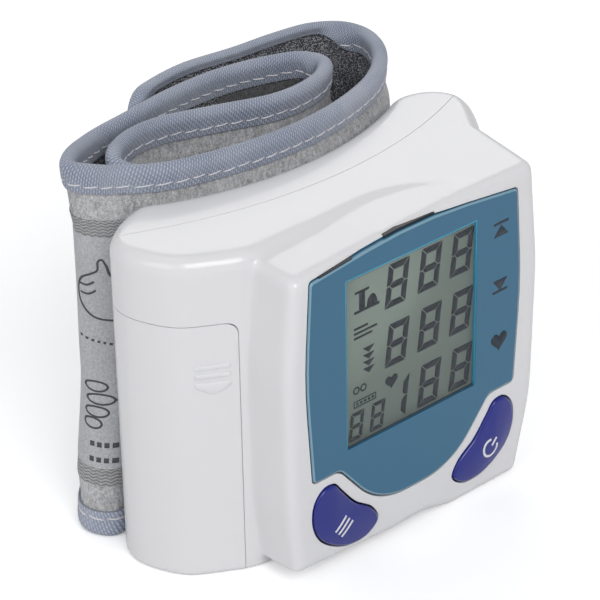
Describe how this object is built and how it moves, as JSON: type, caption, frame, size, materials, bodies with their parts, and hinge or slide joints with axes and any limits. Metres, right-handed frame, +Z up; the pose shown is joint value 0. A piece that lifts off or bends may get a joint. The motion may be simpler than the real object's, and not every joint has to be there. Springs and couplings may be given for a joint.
{
  "type": "wrist blood pressure monitor",
  "caption": "Wrist blood pressure monitor with a moulded housing, tinted display lens, push buttons, sliding battery cover and a cloth cuff rolled up behind it.",
  "frame": {"origin": "on the housing's flat lower end, midway across the display block and 16 mm behind its face", "axes": "+Z up along the housing from its lower end, the display faces -Y, +X to the right of a viewer who faces the display"},
  "size_m": [0.0871, 0.0687, 0.0705],
  "materials": {
    "housing": "glossy moulded white",
    "lens": "glossy tinted teal",
    "button": "glossy deep blue",
    "lcd": "smooth reflective grey-green",
    "dark_plastic": "matte",
    "grey_plastic": "matte",
    "board": "satin laminate",
    "silicone": "satin",
    "bladder": "matte",
    "steel": "plain plated",
    "contact": "plain plated",
    "cell": "satin wrap",
    "felt": "brushed loop pile",
    "mesh_cloth": "open knit",
    "tape": "ribbed woven tape",
    "label": "printed satin label",
    "hook": "fine hook pile"
  },
  "bodies": {
    "monitor": {"front_housing": "housing", "rear_housing": "housing", "display_lens": "lens", "lcd_glass": "lcd", "lcd_holder": "dark_plastic", "zebra_strip": "silicone", "circuit_board": "board", "controller_chip": "dark_plastic", "pressure_sensor": "dark_plastic", "buzzer": "dark_plastic", "memory_switch": "steel", "power_switch": "steel", "battery_tray": "grey_plastic", "battery_front": "cell", "battery_rear": "cell", "spring_front": "steel", "spring_rear": "steel", "contact_bridge": "contact", "contact_positive": "contact", "contact_negative": "contact", "housing_screw_1": "steel", "housing_screw_2": "steel", "housing_screw_3": "steel", "housing_screw_4": "steel", "pump_motor": "steel", "pump_head": "dark_plastic", "release_valve": "dark_plastic", "air_tee": "dark_plastic", "air_nozzle": "dark_plastic", "valve_tube": "silicone", "cuff_tube": "silicone", "pump_tube": "silicone", "sensor_tube": "silicone", "cuff_outer_cloth": "felt", "cuff_inner_cloth": "mesh_cloth", "cuff_plate": "grey_plastic", "cuff_bladder": "bladder", "cuff_tape_upper": "tape", "cuff_tape_lower": "tape", "cuff_label": "label", "hook_patch": "hook"},
    "cover": {"battery_cover": "housing"},
    "memory_key": {"memory_button": "button", "memory_plunger": "dark_plastic"},
    "power_key": {"power_button": "button", "power_plunger": "dark_plastic"}
  },
  "joints": [
    {"name": "cover_slide", "type": "slide", "parent": "monitor", "child": "cover", "axis": [0, 0, -1], "range_m": [0, 0.055]},
    {"name": "memory_press", "type": "slide", "parent": "monitor", "child": "memory_key", "axis": [0, 1, 0], "range_m": [0, 0.0008], "stiffness_N_per_m": 1500},
    {"name": "power_press", "type": "slide", "parent": "monitor", "child": "power_key", "axis": [0, 1, 0], "range_m": [0, 0.0008], "stiffness_N_per_m": 1500}
  ]
}
